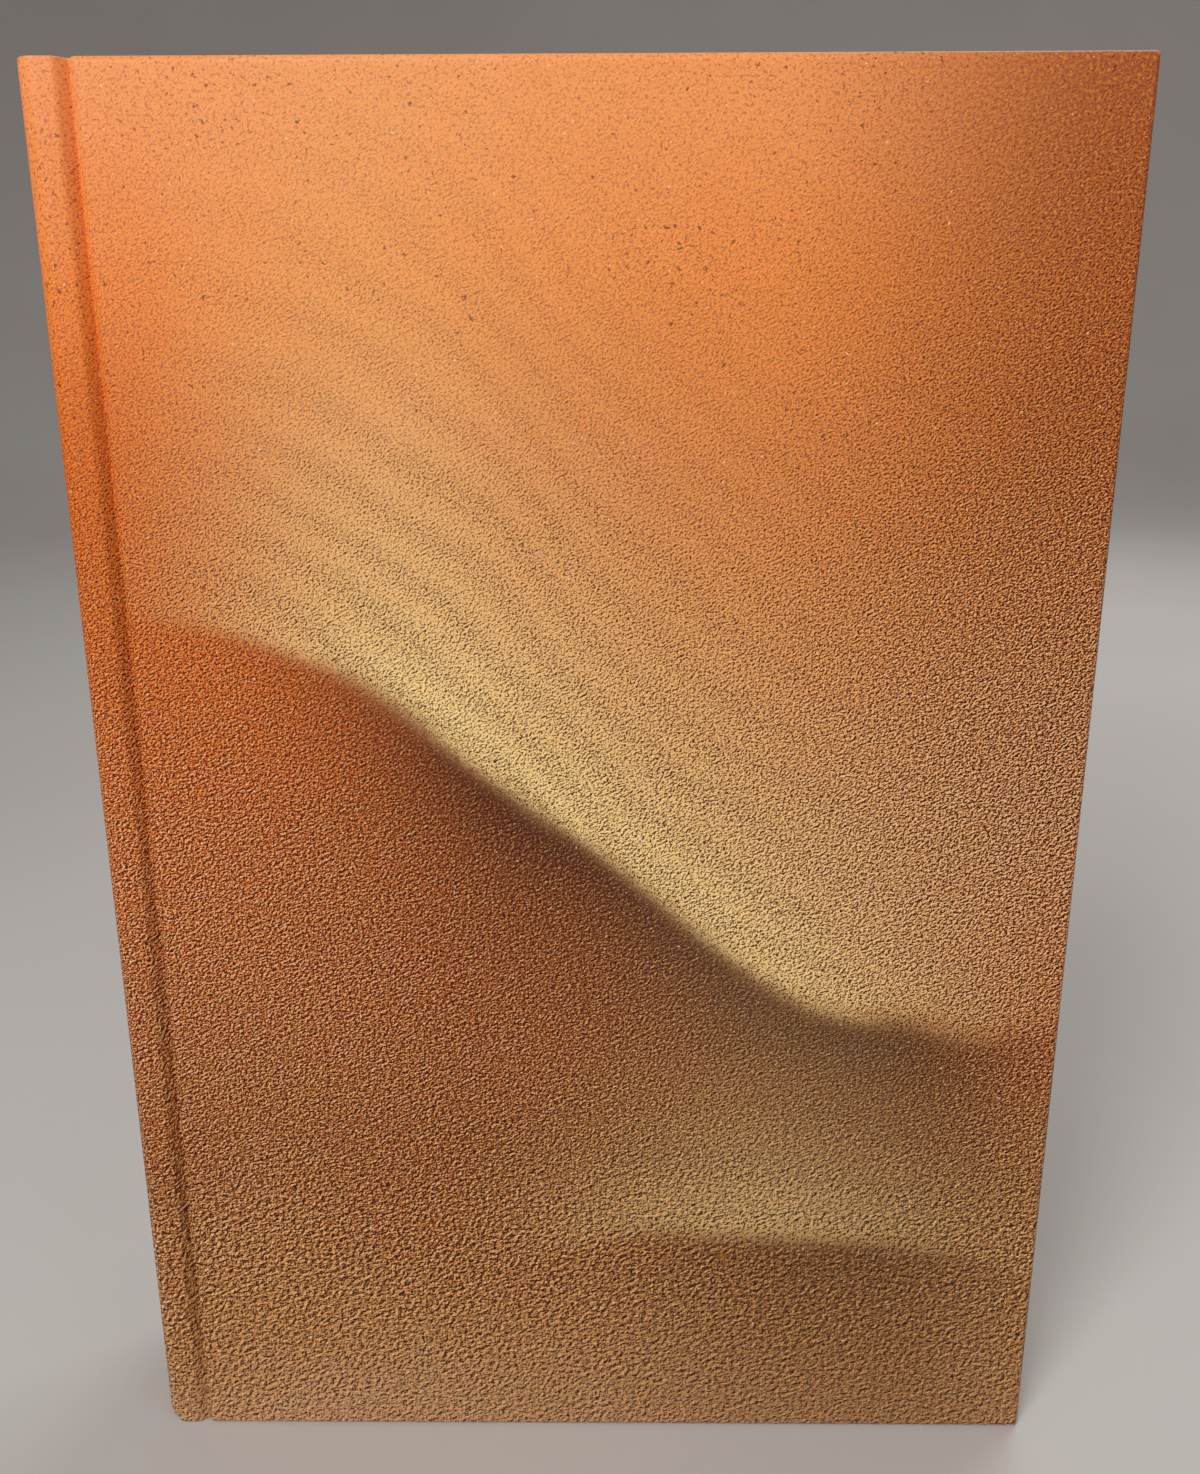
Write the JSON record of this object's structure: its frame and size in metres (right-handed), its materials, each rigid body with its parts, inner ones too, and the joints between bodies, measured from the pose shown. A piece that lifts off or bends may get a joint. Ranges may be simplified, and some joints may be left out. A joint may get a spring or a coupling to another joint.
{
  "type": "case-bound book",
  "caption": "Closed hardcover book with a rounded spine, pressed joint grooves, a printed paper case and covers that hinge open.",
  "frame": {"origin": "bottom centre of the closed book's box, on the surface that its tail edge stands on", "axes": "+Z from tail to head, +X from spine to fore edge, +Y from front cover to back cover"},
  "size_m": [0.1636, 0.033, 0.235],
  "materials": {
    "cover_print": "satin",
    "greyboard": "matte",
    "card": "matte",
    "leaves": "matte",
    "endpaper": "matte",
    "kraft_paper": "matte",
    "gauze": "matte",
    "band_cloth": "matte"
  },
  "bodies": {
    "book_block": {"text_block": "leaves", "spine_mull": "gauze", "spine_liner": "kraft_paper", "head_band": "band_cloth", "tail_band": "band_cloth", "spine_strip": "card", "spine_cover_sheet": "cover_print", "front_flyleaf": "endpaper", "back_flyleaf": "endpaper"},
    "front_cover": {"front_board": "greyboard", "front_cover_sheet": "cover_print", "front_pastedown": "endpaper"},
    "back_cover": {"back_board": "greyboard", "back_cover_sheet": "cover_print", "back_pastedown": "endpaper"}
  },
  "joints": [
    {"name": "front_cover_hinge", "type": "hinge", "parent": "book_block", "child": "front_cover", "pos_m": [-0.07106, -0.0165, 0.1175], "axis": [0, 0, -1], "range_deg": [0, 175]},
    {"name": "back_cover_hinge", "type": "hinge", "parent": "book_block", "child": "back_cover", "pos_m": [-0.07106, 0.0165, 0.1175], "axis": [0, 0, 1], "range_deg": [0, 175]}
  ]
}
